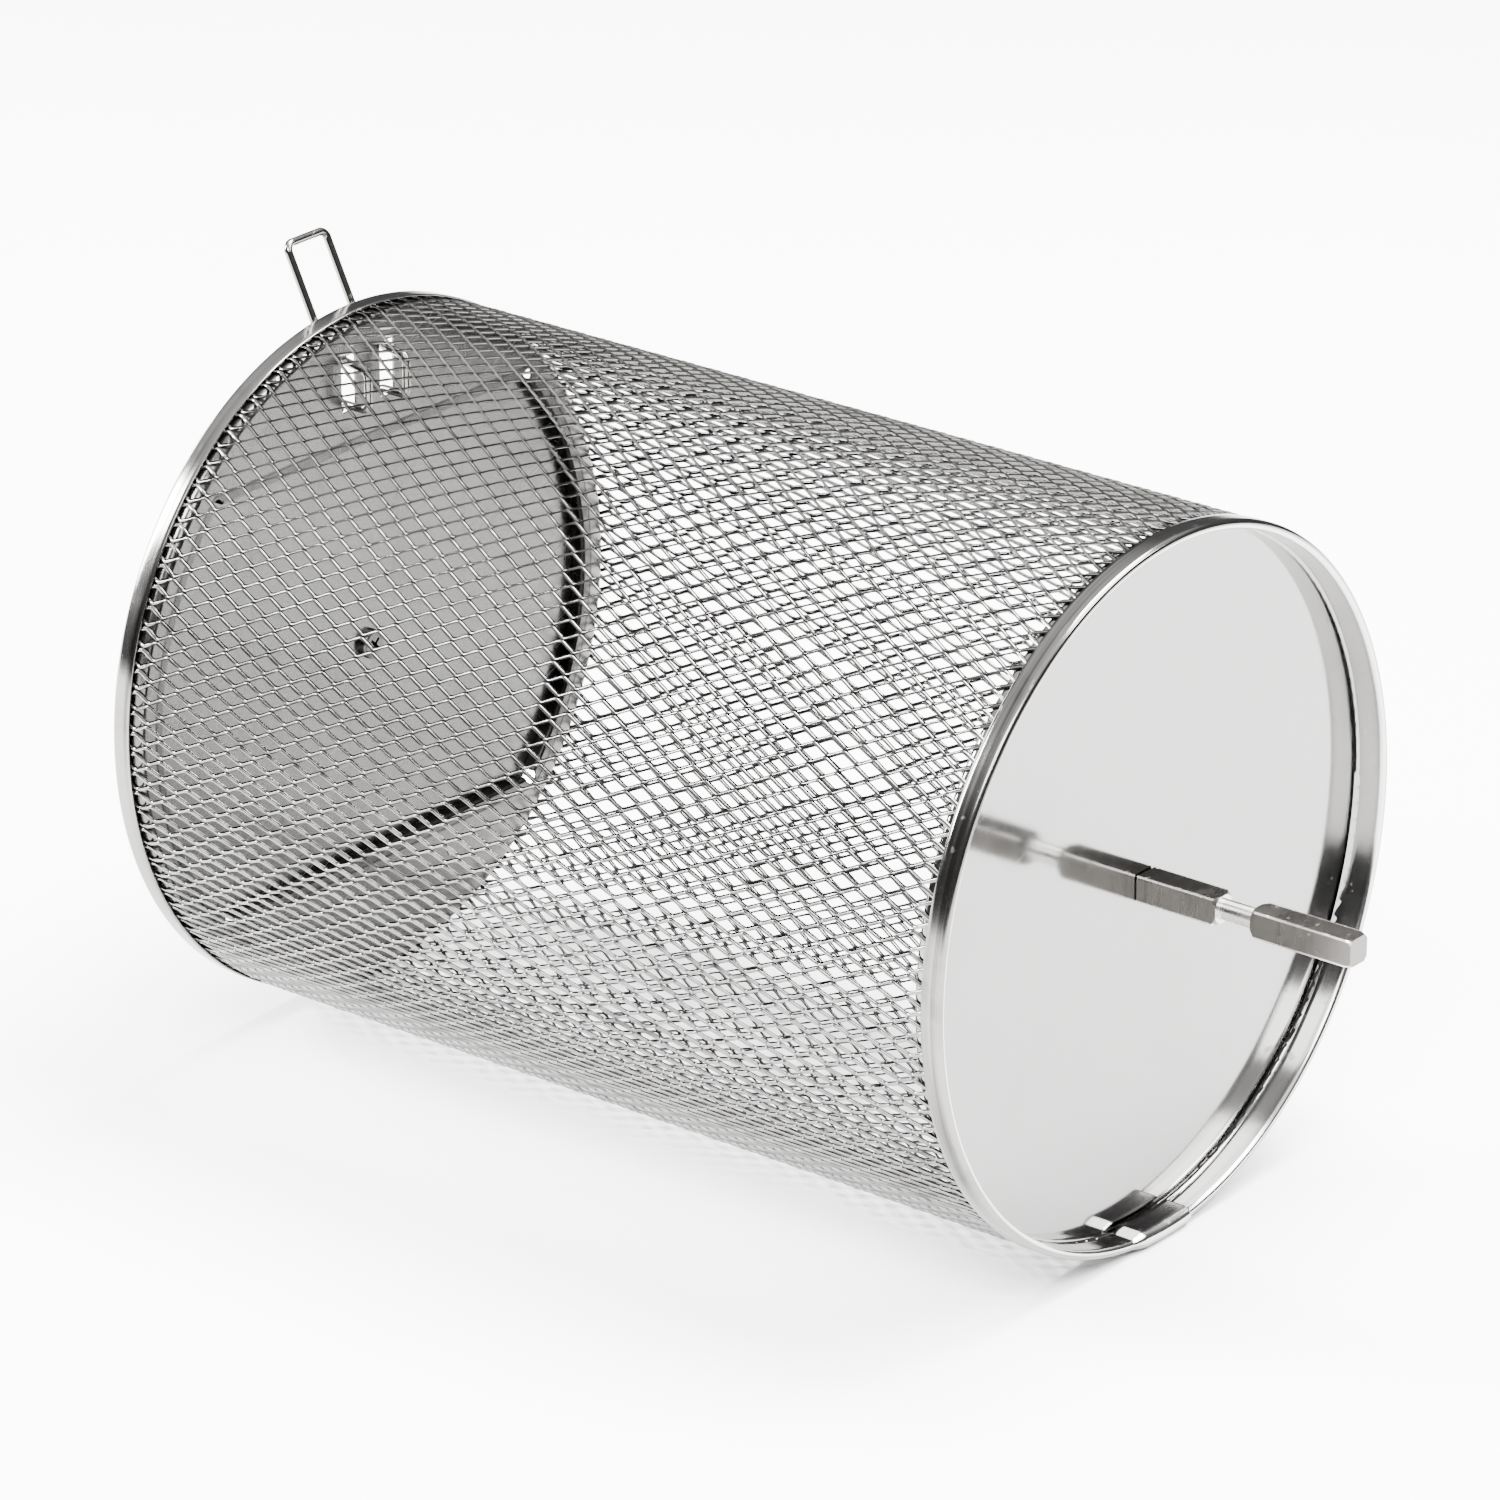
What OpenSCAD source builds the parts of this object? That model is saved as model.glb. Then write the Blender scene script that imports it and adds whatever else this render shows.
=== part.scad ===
// Rotisserie basket: a mesh drum with two folded rim hoops, a solid end plate that carries
// the square drive axle, and a hinged door at the other end with a sprung wire catch.
// Units are millimetres. X runs along the drum's axis of rotation, +X out of the drive end;
// +Z is up. The origin is on the axis, on the outer face of the drive-end plate.

/* [Drum] */
// Outer diameter over the rim hoops
rim_d = 212; // [170:1:300]
// Length of the drum over its two rim lips
drum_len = 300; // [180:1:420]
// Thickness of the rolled mesh where the rims clamp it
mesh_t = 0.8; // [0.5:0.1:2]
// Thickness of the end plates' sheet
plate_t = 0.8; // [0.6:0.1:1.5]
// Depth of an end plate's outer face below the rim lip
recess = 9.5; // [8:0.5:16]
// Radius inside the bend between an end plate and its skirt
skirt_bend = 1.2; // [0.6:0.1:3]

/* [Rim hoops] */
// Thickness of the rim strip
strip_t = 0.7; // [0.5:0.1:1.2]
// Width of the strip's outer leg, which covers the mesh edge
outer_leg = 6.5; // [5:0.5:14]
// Width of the strip's inner leg, inside the end plate's skirt
inner_leg = 8; // [5:0.5:14]
// Angle covered by the lapped joint of the strip
lap_angle = 15; // [8:1:25]
// Angle from the bottom of the rim to the lap's middle
lap_shift = -1; // [-20:1:20]
// How far the mesh and the skirts stop short of the lip
edge_gap = 2; // [1.8:0.1:4]

/* [Drive axle] */
// Width across the flats of the square drive axle
axle_af = 8; // [6:0.5:12]
// Length of the drive axle outside the end plate
axle_len = 72; // [50:1:110]
// Distance from the end plate to the bearing neck
neck_from = 27; // [18:1:45]
// Length of the bearing neck
neck_len = 11.5; // [6:0.5:20]
// Diameter of the bearing neck
neck_d = 6; // [4:0.5:10]
// Side of the square tenon in the end plate
tenon_w = 6.2; // [5.2:0.1:8]
// Depth of the turned chamfer at a shoulder
shoulder_ch = 1.6; // [0.5:0.1:3]
// Diameter left on the tip's end face
tip_d = 9.6; // [7:0.1:14]
// Length of the tip's turned chamfer
tip_ch = 2.2; // [0.5:0.1:4]

/* [Axle screws] */
// Thread diameter of both axle screws
screw_d = 5; // [4:1:6]
// Diameter of a screw's pan head
head_d = 9; // [8:0.1:12]
// Height of a screw's pan head
head_h = 2.6; // [2:0.1:4]
// Length of a screw under its head
screw_len = 12; // [8:1:16]

/* [Door stub axle] */
// Diameter of the door's round stub axle
stub_d = 8; // [7:0.5:12]
// Length of the stub axle outside the door
stub_len = 30; // [20:1:60]
// Chamfer at the stub axle's tip
stub_ch = 0.8; // [0.3:0.1:2]

/* [Door opening] */
// Gap between the opening's curved sides and the skirt
opening_margin = 9.9; // [8:0.1:20]
// Height from the axis to the opening's top and bottom edges
opening_h = 65; // [45:1:90]
// Height of the flange turned out around the opening
flange_h = 3.5; // [2:0.1:6]
// Radius inside the flange's bend
flange_bend = 0.4; // [0.2:0.1:1]
// Radius of the corner reliefs
relief_r = 2; // [1:0.1:4]

/* [Door and hinge] */
// Thickness of the door's sheet
door_t = 0.8; // [0.6:0.1:1.5]
// How far the door's curved sides overlap the flange
door_lap = 1.2; // [0.8:0.1:2]
// How far the door's top edge overlaps the flange
door_top_lap = 3.7; // [2:0.1:8]
// Gap between the closed door and the flange's edge
door_gap = 0.2; // [0.1:0.05:0.5]
// Drop from the opening's bottom edge to the hinge axis
hinge_drop = 4.2; // [4:0.1:8]
// Width of the hinge
hinge_w = 76; // [40:1:110]
// Height of the fixed leaf below the hinge axis
leaf_h = 12.8; // [10:0.1:20]
// Thickness of the fixed leaf
leaf_t = 1; // [0.8:0.1:1.2]
// Diameter of the hinge pin
pin_d = 2.5; // [2:0.1:3]
// Radial clearance of the door's knuckles on the pin
pin_play = 0.05; // [0.02:0.01:0.1]
// Gap between neighbouring knuckles
knuckle_gap = 0.4; // [0.2:0.1:1]
// Distance between the two hinge rivets
rivet_span = 61; // [30:1:90]
// Drop from the hinge axis to the rivets
rivet_drop = 7.8; // [6:0.1:12]
// Diameter of a rivet's shank
rivet_d = 2.4; // [2:0.1:4]
// Diameter of a rivet's head
rivet_head_d = 5; // [4:0.1:7]

/* [Wire catch] */
// Diameter of the catch's wire
wire_d = 2.5; // [2:0.1:3]
// Distance between the catch's two legs
leg_span = 17; // [14:0.5:30]
// Sideways position of the catch's middle
catch_y = -3; // [-10:0.5:10]
// Height of the catch slots' lower end above the opening's edge
slot_rise = 12.8; // [10:0.1:20]
// Height of a catch slot
slot_h = 17.4; // [17.2:0.1:24]
// Width of a catch slot
slot_w = 6.4; // [4:0.1:10]
// How far the catch's bulges reach into the drum
bulge_reach = 7.6; // [4:0.1:12]
// Lean of the catch's handle away from the end plate
handle_lean = 26; // [10:1:45]
// Length of the handle above its bend at the rim
handle_len = 26; // [15:1:60]
// Bend radius of the wire, on its centre line
wire_bend = 2.5; // [2:0.1:4]

/* [Hidden] */
$fn = 96;
big = 1000;
rim_r = rim_d / 2;
lip_t = mesh_t + plate_t + 2 * strip_t;   // thickness of the folded rim
lip_r = lip_t / 2;
skirt_r = rim_r - strip_t - mesh_t;       // outside of an end plate's skirt
bend_out = skirt_bend + plate_t;
far_lip = recess - drum_len;              // the door end's lip plane
tenon_len = plate_t - 0.1;                // a little short, so that the screw clamps
hole_play = 0.1;
root_gap = 0.45;                          // step cut round the axle where it meets the plate
open_r = skirt_r - opening_margin;
flange_foot = 0.3;
door_x = flange_h + door_gap;             // the door's inner face, outward of its plate
door_face = door_x + door_t;
knuckle_r = door_face / 2;                // the knuckle spans from plate to door face
hinge_x = knuckle_r;
hinge_z = -opening_h - hinge_drop;
door_r = open_r + plate_t + door_lap;
door_top = opening_h + plate_t + door_top_lap;
stub_tenon_d = stub_d - 2;
knuckles = 5;
knuckle_pitch = hinge_w / knuckles;
slot_low = opening_h + slot_rise;
wire_r = wire_d / 2;
weld_flat = 0.1;                          // flat pressed on the wire where it is welded
tail_x = door_face + wire_r - weld_flat;
bulge_low = slot_low + 0.6 + wire_r;
bulge_high = slot_low + slot_h - 0.9 - wire_r;
rim_bend_x = recess + 1.7;                // where the legs turn up, just outside the lip
rim_bend_z = rim_r - lip_t - 2.2;
bend_swell = 0.03;
bend_grip = 0.1;
leg_points = [
    [tail_x, bulge_low - 33.5],
    [tail_x, bulge_low - 6.2],
    [1.6, bulge_low],
    [-plate_t - bulge_reach, bulge_low],
    [-plate_t - bulge_reach, bulge_high - 1.2],
    [0.4, bulge_high],
    [rim_bend_x, rim_bend_z],
    [rim_bend_x + 6 * sin(handle_lean), rim_bend_z + 6 * cos(handle_lean)]];

// ---- frames ----------------------------------------------------------------------------
// A profile drawn as (radius, distance along X), turned about the drum's axis.
module about_x() rotate([0, 90, 0]) children();
// An outline drawn as (Y, Z), extruded along X.
module along_x() rotate([90, 0, 90]) children();
// An outline drawn as (Z, X), extruded along Y.
module along_y() rotate([90, 0, 90]) rotate([90, 0, 90]) children();
// The door end: +X points out of the drum, from the outer face of the door-end plate.
module door_side() translate([far_lip + recess, 0, 0]) mirror([1, 0, 0]) children();

// ---- shared shapes ---------------------------------------------------------------------
// The rim strip's folded section, its lip at Y = 0: the part of it from one depth to another, both
// counted in strip thicknesses from its inside, with its legs longer by an amount.
module rim_section(low = 0, high = 1, longer = 0) {
    depth = strip_t * (high - low);
    translate([rim_r - strip_t * (1 - low), -outer_leg - longer])
        square([depth, outer_leg + longer - lip_r]);
    translate([rim_r - lip_t + strip_t * (1 - high), -inner_leg - longer])
        square([depth, inner_leg + longer - lip_r]);
    translate([rim_r - lip_r, -lip_r])
        intersection() {
            difference() {
                circle(r = lip_r + strip_t * (high - 1));
                circle(r = lip_r - strip_t * (1 - low));
            }
            translate([-big / 2, 0]) square([big, big / 2]);
        }
}

// A rim hoop: the folded strip and, at the bottom, the end of the strip lapped over itself.
module rim_hoop() about_x() {
    rotate_extrude() rim_section();
    rotate([0, 0, lap_shift - lap_angle / 2])
        rotate_extrude(angle = lap_angle) rim_section(0.5, 2, 0.3);
}

// An end plate: a disc whose edge turns out into a skirt that the rim clamps.
module pan() about_x() rotate_extrude() {
    translate([0, -plate_t]) square([skirt_r - bend_out, plate_t]);
    translate([skirt_r - bend_out, skirt_bend])
        intersection() {
            difference() {
                circle(r = bend_out);
                circle(r = skirt_bend);
            }
            translate([0, -big]) square([big, big]);
        }
    translate([skirt_r - plate_t, skirt_bend])
        square([plate_t, recess - edge_gap - skirt_bend]);
}

// A pan-head screw with a cross recess, its head's underside at X = 0, shank along +X.
module pan_screw() {
    edge = head_h * 0.4;
    difference() {
        union() {
            about_x() mirror([0, 0, 1]) rotate_extrude() {
                square([head_d / 2, head_h - edge]);
                square([head_d / 2 - edge, head_h]);
                translate([head_d / 2 - edge, head_h - edge]) circle(r = edge);
            }
            about_x() cylinder(d = screw_d, h = screw_len);
        }
        for (turn = [45, 135])
            rotate([turn, 0, 0])
                translate([-head_h - 1, -head_d * 0.27, -head_d * 0.055])
                    cube([1 + head_h * 0.6, head_d * 0.54, head_d * 0.11]);
    }
}

// The opening's outline, as (Y, Z), enlarged by a margin.
module opening_outline(margin = 0) intersection() {
    circle(r = open_r + margin);
    square([big, 2 * (opening_h + margin)], center = true);
}

// The flange's section: outward distance from the opening's edge, then distance along X. Its foot
// reaches into the plate by flange_foot.
module flange_section() {
    turn = flange_bend + plate_t;
    translate([turn, -plate_t]) square([2 * flange_foot, plate_t]);
    translate([turn, flange_bend])
        intersection() {
            difference() {
                circle(r = turn);
                circle(r = flange_bend);
            }
            translate([-big, -big]) square([big, big]);
        }
    translate([0, flange_bend]) square([plate_t, flange_h - flange_bend]);
}

// A rounded slot standing on Z = 0, as (Y, Z).
module slot_outline(corner = 1) {
    translate([-slot_w / 2 + corner, 0]) square([slot_w - 2 * corner, slot_h]);
    translate([-slot_w / 2, corner]) square([slot_w, slot_h - 2 * corner]);
    for (side = [-1, 1], level = [corner, slot_h - corner])
        translate([side * (slot_w / 2 - corner), level]) circle(r = corner);
}

// Wire along a plane path of [u, v] points, its corners rounded on the centre line.
function heading(a, b) = atan2(b[1] - a[1], b[0] - a[0]);
function unit(t) = [cos(t), sin(t)];
function wrap(t) = t > 180 ? t - 360 : t < -180 ? t + 360 : t;
function trim(p, i, bend) = i <= 0 || i >= len(p) - 1 ? 0 :
    bend * tan(abs(wrap(heading(p[i], p[i + 1]) - heading(p[i - 1], p[i]))) / 2);
module wire_path(p, bend, r = wire_r) translate(concat(p[0], [0]))
    rotate([0, 0, heading(p[0], p[1])]) wire_from(p, bend, r, 0);

// The run from point i and, placed from its end, the bend after it and all that follows. A bend is
// fatter than the wire by bend_swell, and the runs reach into it by bend_grip.
module wire_from(p, bend, r, i) {
    run = norm(p[i + 1] - p[i]) - trim(p, i, bend) - trim(p, i + 1, bend);
    before = i > 0 ? bend_grip : 0;
    after = i < len(p) - 2 ? bend_grip : 0;
    translate([-before, 0, 0]) rotate([0, 90, 0]) cylinder(r = r, h = before + run + after);
    if (after > 0) translate([run, 0, 0]) {
        turn = wrap(heading(p[i + 1], p[i + 2]) - heading(p[i], p[i + 1]));
        side = sign(turn);
        translate([0, side * bend, 0]) rotate([0, 0, -side * 90 + min(turn, 0)])
            rotate_extrude(angle = abs(turn)) translate([bend, 0]) circle(r = r + bend_swell);
        translate([bend * sin(abs(turn)), side * bend * (1 - cos(turn)), 0])
            rotate([0, 0, turn]) wire_from(p, bend, r, i + 1);
    }
}

// ---- the fixed basket ------------------------------------------------------------------
module mesh_shell() color("silver")
    translate([far_lip + edge_gap, 0, 0]) about_x()
        difference() {
            cylinder(r = skirt_r + mesh_t, h = drum_len - 2 * edge_gap);
            translate([0, 0, -1]) cylinder(r = skirt_r, h = drum_len - 2 * edge_gap + 2);
        }

module drive_end_rim() color("gainsboro") translate([recess, 0, 0]) rim_hoop();

module drive_end_plate() color("lightgray")
    difference() {
        pan();
        translate([-plate_t - 1, -tenon_w / 2 - hole_play / 2, -tenon_w / 2 - hole_play / 2])
            cube([plate_t + 2, tenon_w + hole_play, tenon_w + hole_play]);
    }

module drive_axle() color("darkgray")
    difference() {
        union() {
            intersection() {
                union() {
                    translate([root_gap, -axle_af / 2, -axle_af / 2])
                        cube([axle_len - root_gap, axle_af, axle_af]);
                    translate([0, -axle_af / 2 + root_gap, -axle_af / 2 + root_gap])
                        cube([axle_len / 4, axle_af - 2 * root_gap, axle_af - 2 * root_gap]);
                }
                about_x() rotate_extrude() polygon([
                    [0, 0], [axle_af, 0], [axle_af, neck_from - 2 * shoulder_ch],
                    [axle_af * 0.72, neck_from - shoulder_ch],
                    [axle_af * 0.53, neck_from], [neck_d / 2, neck_from],
                    [neck_d / 2, neck_from + neck_len],
                    [axle_af * 0.53, neck_from + neck_len],
                    [axle_af * 0.72, neck_from + neck_len + shoulder_ch],
                    [axle_af, neck_from + neck_len + 2 * shoulder_ch],
                    [axle_af, axle_len - 2 * tip_ch], [axle_af * 0.72, axle_len - tip_ch],
                    [tip_d / 2, axle_len], [0, axle_len]]);
            }
            translate([-tenon_len, -tenon_w / 2, -tenon_w / 2])
                cube([tenon_len + 1, tenon_w, tenon_w]);
        }
        translate([-plate_t, 0, 0]) about_x() cylinder(d = screw_d, h = screw_len + 2);
    }

module drive_axle_screw() color("gray") translate([-plate_t, 0, 0]) pan_screw();

module door_end_rim() color("gainsboro")
    translate([far_lip, 0, 0]) rotate([0, 0, 180]) rim_hoop();

module door_end_plate() color("lightgray") door_side() {
    bend = flange_bend + plate_t;
    corner_y = sqrt(pow(open_r, 2) - pow(opening_h, 2));
    corner_angle = asin(opening_h / open_r);
    relief_angle = relief_r * 180 / (PI * open_r);
    difference() {
        pan();
        translate([-plate_t - 1, 0, 0]) along_x() linear_extrude(plate_t + 2) {
            opening_outline(bend + flange_foot);
            for (side = [-1, 1], level = [-1, 1])
                translate([side * (corner_y + bend / 2), level * (opening_h + bend / 2)])
                    circle(r = relief_r);
            for (side = [-1, 1]) {
                translate([catch_y + side * leg_span / 2, slot_low]) slot_outline();
                translate([side * rivet_span / 2, hinge_z - rivet_drop])
                    circle(d = rivet_d);
            }
        }
    }
    for (side = [-1, 1])
        about_x() rotate([0, 0, side * 90 - corner_angle + relief_angle])
            rotate_extrude(angle = 2 * (corner_angle - relief_angle))
                translate([open_r, 0]) flange_section();
    for (flip = [0, 1])
        mirror([0, 0, flip]) translate([0, -corner_y + relief_r, opening_h])
            along_y() linear_extrude(2 * (corner_y - relief_r)) flange_section();
}

// One knuckle of the hinge; number 0 is at -Y. Even knuckles belong to the fixed leaf.
module knuckle(number, bore_r)
    translate([hinge_x, -hinge_w / 2 + number * knuckle_pitch + knuckle_gap / 2, hinge_z])
        rotate([-90, 0, 0]) difference() {
            cylinder(r = knuckle_r, h = knuckle_pitch - knuckle_gap);
            translate([0, 0, -1]) cylinder(r = bore_r, h = knuckle_pitch + 2);
        }

// The space swept by a knuckle, to be cut out of the sheet beside it.
module knuckle_notch(number)
    translate([-1, -hinge_w / 2 + number * knuckle_pitch - knuckle_gap / 2,
               hinge_z - knuckle_r - knuckle_gap])
        cube([door_face + 2, knuckle_pitch + knuckle_gap, 2 * (knuckle_r + knuckle_gap)]);

module hinge_leaf() color("lightgray") door_side() {
    difference() {
        translate([0, -hinge_w / 2 + knuckle_gap / 2, hinge_z - leaf_h])
            cube([leaf_t, hinge_w - knuckle_gap, leaf_h]);
        for (number = [1, 3]) knuckle_notch(number);
        translate([hinge_x, 0, hinge_z]) rotate([90, 0, 0])
            cylinder(d = pin_d, h = hinge_w + 2, center = true);
        for (side = [-1, 1])
            translate([-1, side * rivet_span / 2, hinge_z - rivet_drop])
                about_x() cylinder(d = rivet_d, h = leaf_t + 2);
    }
    for (number = [0, 2, 4]) knuckle(number, pin_d / 2);
}

// The two rivets that hold the fixed leaf on the plate.
module hinge_rivets() color("gray") door_side()
    for (side = [-1, 1])
        translate([0, side * rivet_span / 2, hinge_z - rivet_drop]) {
            translate([-plate_t - 0.25, 0, 0])
                about_x() cylinder(d = rivet_d, h = plate_t + leaf_t + 0.5);
            translate([leaf_t, 0, 0]) about_x() rotate_extrude() {
                square([rivet_head_d / 2, 0.6]);
                square([rivet_head_d / 2 - 0.4, 1]);
                translate([rivet_head_d / 2 - 0.4, 0.6]) circle(r = 0.4);
            }
        }

module hinge_pin() color("gray") door_side()
    translate([hinge_x, 0, hinge_z]) rotate([90, 0, 0])
        cylinder(d = pin_d, h = hinge_w + 1.6, center = true);

// ---- the door --------------------------------------------------------------------------
module door_panel() color("silver") door_side() {
    low_edge = hinge_z + knuckle_r + knuckle_gap;
    difference() {
        translate([door_x, 0, 0]) along_x() linear_extrude(door_t) difference() {
            intersection() {
                circle(r = door_r);
                translate([-big / 2, low_edge]) square([big, door_top - low_edge]);
            }
            circle(d = stub_tenon_d + hole_play);
        }
        for (number = [0, 2, 4]) knuckle_notch(number);
    }
    for (number = [1, 3]) {
        knuckle(number, pin_d / 2 + pin_play);
        translate([door_x, -hinge_w / 2 + number * knuckle_pitch + knuckle_gap / 2, hinge_z])
            cube([door_t, knuckle_pitch - knuckle_gap, low_edge - hinge_z + 0.5]);
    }
}

module door_stub_axle() color("darkgray") door_side()
    difference() {
        about_x() rotate_extrude() polygon([
            [0, door_face - tenon_len], [stub_tenon_d / 2, door_face - tenon_len],
            [stub_tenon_d / 2, door_face], [stub_d / 2, door_face],
            [stub_d / 2, door_face + stub_len - stub_ch],
            [stub_d / 2 - stub_ch, door_face + stub_len], [0, door_face + stub_len]]);
        translate([door_x, 0, 0]) about_x() cylinder(d = screw_d, h = screw_len + 2);
    }

module door_stub_screw() color("gray") door_side() translate([door_x, 0, 0]) pan_screw();

// The catch: one wire, welded to the door, with a bulge in each slot and a handle above.
module wire_catch() color("dimgray") door_side() difference() {
    union() {
        for (side = [-1, 1])
            translate([0, catch_y + side * leg_span / 2, 0])
                rotate([90, 0, 0]) wire_path(leg_points, wire_bend);
        translate([leg_points[7][0], catch_y, leg_points[7][1]])
            rotate([0, handle_lean - 90, 0]) wire_bow();
    }
    translate([door_face - 5, -big / 2, leg_points[0][1] - 5])
        cube([5, big, 30]);
}

// The handle's bow, in a plane: its legs run along X from just inside the ends of the two legs
// that carry it, and are thinner than them by bend_swell / 2.
module wire_bow() {
    rise = handle_len - 6;
    wire_path([[-bend_grip, -leg_span / 2], [rise, -leg_span / 2], [rise, leg_span / 2],
               [-bend_grip, leg_span / 2]], wire_bend, wire_r - bend_swell / 2);
}

mesh_shell();
drive_end_rim();
drive_end_plate();
drive_axle();
drive_axle_screw();
door_end_rim();
door_end_plate();
hinge_leaf();
hinge_rivets();
hinge_pin();
door_panel();
door_stub_axle();
door_stub_screw();
wire_catch();
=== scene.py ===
"""The looks of a rotisserie basket: sheet ends, folded rim hoops and an expanded-metal wall.

Everything is in metres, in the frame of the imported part: X runs along the drum's axis, out of the
drive end, +Z is up and the origin is on the axis at the drive-end plate's outer face.
"""
from __future__ import annotations

import logging
import math
from dataclasses import dataclass
from enum import Enum
from typing import ClassVar

import bpy
import numpy as np
from mathutils import Euler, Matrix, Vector

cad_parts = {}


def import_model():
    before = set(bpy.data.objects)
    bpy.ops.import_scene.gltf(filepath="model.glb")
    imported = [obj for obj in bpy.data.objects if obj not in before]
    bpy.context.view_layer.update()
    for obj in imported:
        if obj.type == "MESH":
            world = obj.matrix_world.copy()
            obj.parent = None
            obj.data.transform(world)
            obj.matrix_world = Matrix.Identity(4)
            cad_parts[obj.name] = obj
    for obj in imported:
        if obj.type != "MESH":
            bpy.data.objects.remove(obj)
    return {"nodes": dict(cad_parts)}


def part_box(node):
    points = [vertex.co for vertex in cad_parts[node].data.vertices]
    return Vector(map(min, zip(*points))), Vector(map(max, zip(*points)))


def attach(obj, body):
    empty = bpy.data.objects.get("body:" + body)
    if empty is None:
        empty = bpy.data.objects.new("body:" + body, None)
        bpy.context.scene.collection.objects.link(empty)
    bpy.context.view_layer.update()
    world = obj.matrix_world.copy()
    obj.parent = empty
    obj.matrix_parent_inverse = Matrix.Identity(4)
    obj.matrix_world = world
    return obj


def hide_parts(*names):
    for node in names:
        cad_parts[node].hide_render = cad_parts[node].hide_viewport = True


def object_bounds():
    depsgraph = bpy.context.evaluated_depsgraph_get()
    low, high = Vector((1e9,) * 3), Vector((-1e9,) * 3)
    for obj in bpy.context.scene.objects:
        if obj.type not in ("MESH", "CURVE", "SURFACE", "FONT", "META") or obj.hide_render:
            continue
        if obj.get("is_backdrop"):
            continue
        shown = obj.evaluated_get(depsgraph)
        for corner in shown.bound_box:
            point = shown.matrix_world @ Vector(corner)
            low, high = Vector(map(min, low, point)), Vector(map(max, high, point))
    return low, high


LOG = logging.getLogger("basket")
MM = 0.001
DRIVE_LIP_X = 9.5 * MM
DOOR_LIP_X = -290.5 * MM
# The floor stands at the lowest point of the bounds, or at the drum's bottom if they reach
# lower than LOWEST_Z.
LOWEST_Z = -0.2
DRUM_BOTTOM_Z = -0.1067

# How far a noise is squeezed along the grain, which draws it out in lines. The last is in
# metres for each radian.
SQUEEZE_ALONG = 0.02
SQUEEZE_UPRIGHT = 0.015
SQUEEZE_ACROSS = 0.04
SQUEEZE_ROUND = 0.0016
# Bands for each fine line; patches and single scratches in a metre.
BAND_SHARE = 0.09
CLOUD_SCALE = 38.0
SCRATCH_SCALE = 620.0
# Painted highlight on the axle's square edges; its turned neck is mixed to the same bright colour.
EDGE_HIGHLIGHT_AND_NECK = (0.8, 0.79, 0.77, 1.0)
# Near black, painted as shade into the bend and creases round the door end's opening.
OPENING_SHADE_STEEL = (0.013, 0.0126, 0.012, 1.0)
# Sockets of a Mix node that are used for colours.
MIX_LOW, MIX_HIGH, MIX_OUT = 6, 7, 2


# ---- shader graph ----------------------------------------------------------------------------


class Grain(Enum):
    """The way the fine lines of a worked surface run."""

    ALONG = "along the drum's axis"
    ROUND = "round the drum's axis"
    UPRIGHT = "up and down"
    ACROSS = "across the axle"


@dataclass(frozen=True)
class Signal:
    """One output of a shader node, with arithmetic that adds Math nodes.

    Args:
        graph: the graph the socket belongs to.
        socket: the output socket.
    """

    graph: "Graph"
    socket: bpy.types.NodeSocket

    def __add__(self, other: "Signal | float") -> "Signal":
        """The sum of the two."""
        return self.graph.math("ADD", self, other)

    def __radd__(self, other: float) -> "Signal":
        """The sum, with a number on the left."""
        return self.graph.math("ADD", other, self)

    def __sub__(self, other: "Signal | float") -> "Signal":
        """The difference of the two."""
        return self.graph.math("SUBTRACT", self, other)

    def __rsub__(self, other: float) -> "Signal":
        """The difference, with a number on the left."""
        return self.graph.math("SUBTRACT", other, self)

    def __mul__(self, other: "Signal | float") -> "Signal":
        """The product of the two."""
        return self.graph.math("MULTIPLY", self, other)

    def __rmul__(self, other: float) -> "Signal":
        """The product, with a number on the left."""
        return self.graph.math("MULTIPLY", other, self)

    def __abs__(self) -> "Signal":
        """The value without its sign."""
        return self.graph.math("ABSOLUTE", self)

    def clamped(self) -> "Signal":
        """The value held between 0 and 1.

        Returns:
            The clamped signal.
        """
        return self.graph.node("ShaderNodeClamp", {}, self)

    def ramp(self, low: float, high: float) -> "Signal":
        """A smooth rise from 0 at low to 1 at high.

        Args:
            low: the value where the rise starts.
            high: the value where it ends.

        Returns:
            The risen signal.
        """
        return self.graph.node(
            "ShaderNodeMapRange", {"interpolation_type": "SMOOTHSTEP"}, self, low, high, 0.0, 1.0)


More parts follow.
